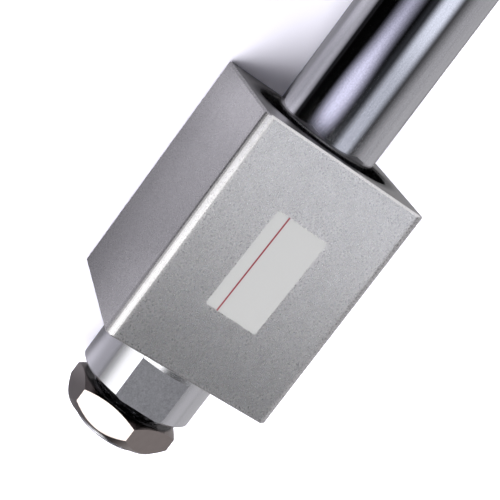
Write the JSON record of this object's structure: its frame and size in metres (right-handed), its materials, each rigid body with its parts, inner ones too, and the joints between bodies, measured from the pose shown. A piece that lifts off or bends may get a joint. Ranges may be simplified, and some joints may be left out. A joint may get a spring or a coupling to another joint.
{
  "type": "rodless pneumatic cylinder",
  "caption": "Rodless air cylinder: a square slider block runs along a polished round tube, pulled by magnets on the piston inside; threaded noses and nuts at both ends.",
  "frame": {"origin": "on the tube's axis, half way between the two nose ends, at the height of the slider's middle", "axes": "+X along the tube from the end the slider stands at towards the far end, +Z out of the slider's plain top face, +Y out of its plain side face; the slider's lower face is at the lowest Z"},
  "size_m": [0.352, 0.06, 0.06],
  "materials": {
    "blasted_aluminium": "fine bead-blasted and clear anodised aluminium",
    "polished_tube": "polished drawn stainless steel",
    "cover_metal": "bright turned aluminium with matt milled flats",
    "nut_plating": "steel under dark nickel plating, polished faces",
    "yoke_steel": "turned low-carbon steel",
    "magnet_plating": "nickel-plated sintered magnet",
    "spring_steel": "phosphated spring steel",
    "turned_aluminium": "turned aluminium, chromate finish",
    "guide_band": "filled guide-band plastic",
    "seal_rubber": "moulded nitrile rubber",
    "sticker_film": "satin silver film sticker, bare"
  },
  "bodies": {
    "barrel": {"cylinder_tube": "polished_tube", "head_cover_left": "cover_metal", "head_cover_right": "cover_metal", "mounting_nut_left": "nut_plating", "mounting_nut_right": "nut_plating", "tube_gasket_left": "seal_rubber", "tube_gasket_right": "seal_rubber", "cover_wire_left": "spring_steel", "cover_wire_right": "spring_steel", "bumper_left": "seal_rubber", "bumper_right": "seal_rubber"},
    "slider_bearing": {"slider_wear_ring_left": "guide_band", "slider_wear_ring_right": "guide_band", "scraper_left": "seal_rubber", "scraper_right": "seal_rubber"},
    "slider": {"slider_block": "blasted_aluminium", "outer_yoke_1": "yoke_steel", "outer_yoke_2": "yoke_steel", "outer_yoke_3": "yoke_steel", "outer_yoke_4": "yoke_steel", "outer_yoke_5": "yoke_steel", "outer_magnet_1": "magnet_plating", "outer_magnet_2": "magnet_plating", "outer_magnet_3": "magnet_plating", "outer_magnet_4": "magnet_plating", "bearing_holder_left": "turned_aluminium", "bearing_holder_right": "turned_aluminium", "snap_ring_left": "spring_steel", "snap_ring_right": "spring_steel"},
    "piston": {"piston_shaft": "yoke_steel", "inner_yoke_1": "yoke_steel", "inner_yoke_2": "yoke_steel", "inner_yoke_3": "yoke_steel", "inner_yoke_4": "yoke_steel", "inner_yoke_5": "yoke_steel", "inner_magnet_1": "magnet_plating", "inner_magnet_2": "magnet_plating", "inner_magnet_3": "magnet_plating", "inner_magnet_4": "magnet_plating", "piston_left": "turned_aluminium", "piston_right": "turned_aluminium", "piston_wear_ring_left": "guide_band", "piston_wear_ring_right": "guide_band", "piston_seal_left": "seal_rubber", "piston_seal_right": "seal_rubber", "piston_nut_left": "yoke_steel", "piston_nut_right": "yoke_steel"}
  },
  "joints": [
    {"name": "slider_travel", "type": "slide", "parent": "barrel", "child": "slider_bearing", "axis": [1, 0, 0], "range_m": [0, 0.2]},
    {"name": "slider_turn", "type": "hinge", "parent": "slider_bearing", "child": "slider", "pos_m": [-0.1, 0, 0], "axis": [1, 0, 0], "continuous": true},
    {"name": "piston_travel", "type": "slide", "parent": "barrel", "child": "piston", "axis": [1, 0, 0], "range_m": [0, 0.2]}
  ],
  "couplings": [
    {"joint": "piston_travel", "follows": "slider_travel", "ratio": 1}
  ]
}
